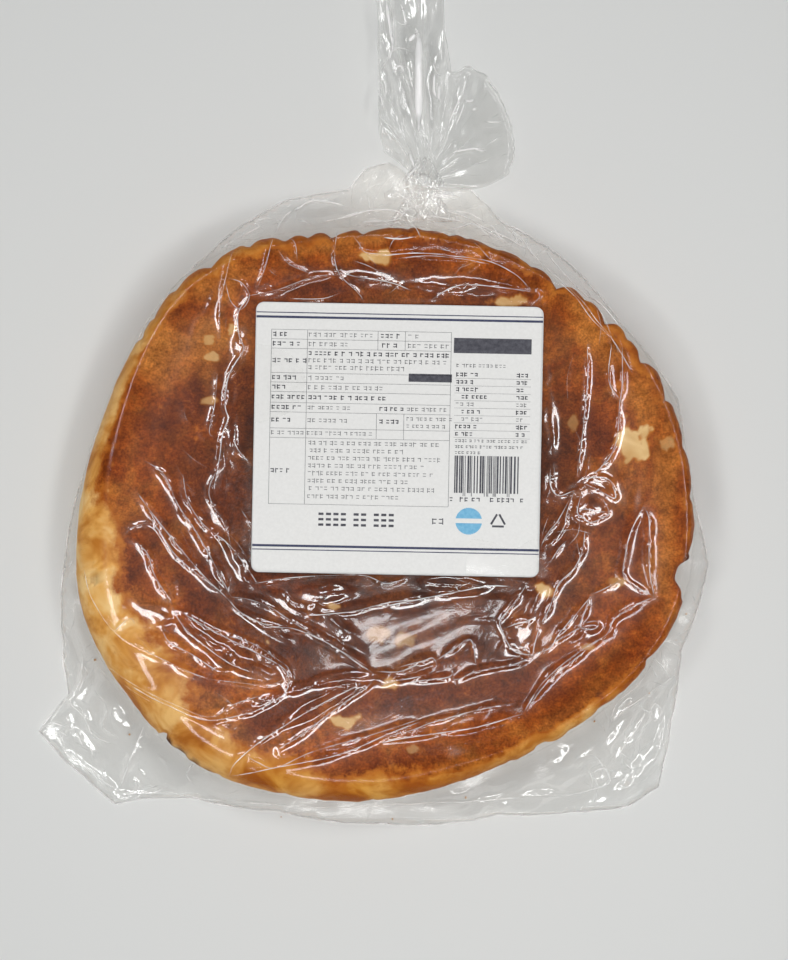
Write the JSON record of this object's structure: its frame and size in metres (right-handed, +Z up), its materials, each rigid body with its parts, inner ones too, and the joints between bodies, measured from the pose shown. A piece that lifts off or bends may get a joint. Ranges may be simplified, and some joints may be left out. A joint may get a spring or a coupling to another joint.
{
  "type": "bagged tandoori bread",
  "caption": "Round tandoori bread lying base up in a clear film bag with a knotted neck, a gathered tail and a paper label.",
  "frame": {"origin": "middle of the bread, on the flat underside that the bag rests on", "axes": "+Z up out of the bread's base, which lies on top; +Y from the bread towards the knotted neck and tail; +X across, to the right of the label"},
  "size_m": [0.266, 0.3549, 0.0359],
  "materials": {
    "bread_crust": "browned bread crust, matt to slightly oily",
    "bag_film": "clear glossy plastic film, creased",
    "label_paper": "white coated paper label, smooth with a soft sheen"
  },
  "bodies": {
    "root": {"bag": "bread_crust", "label": "label_paper"}
  },
  "joints": []
}
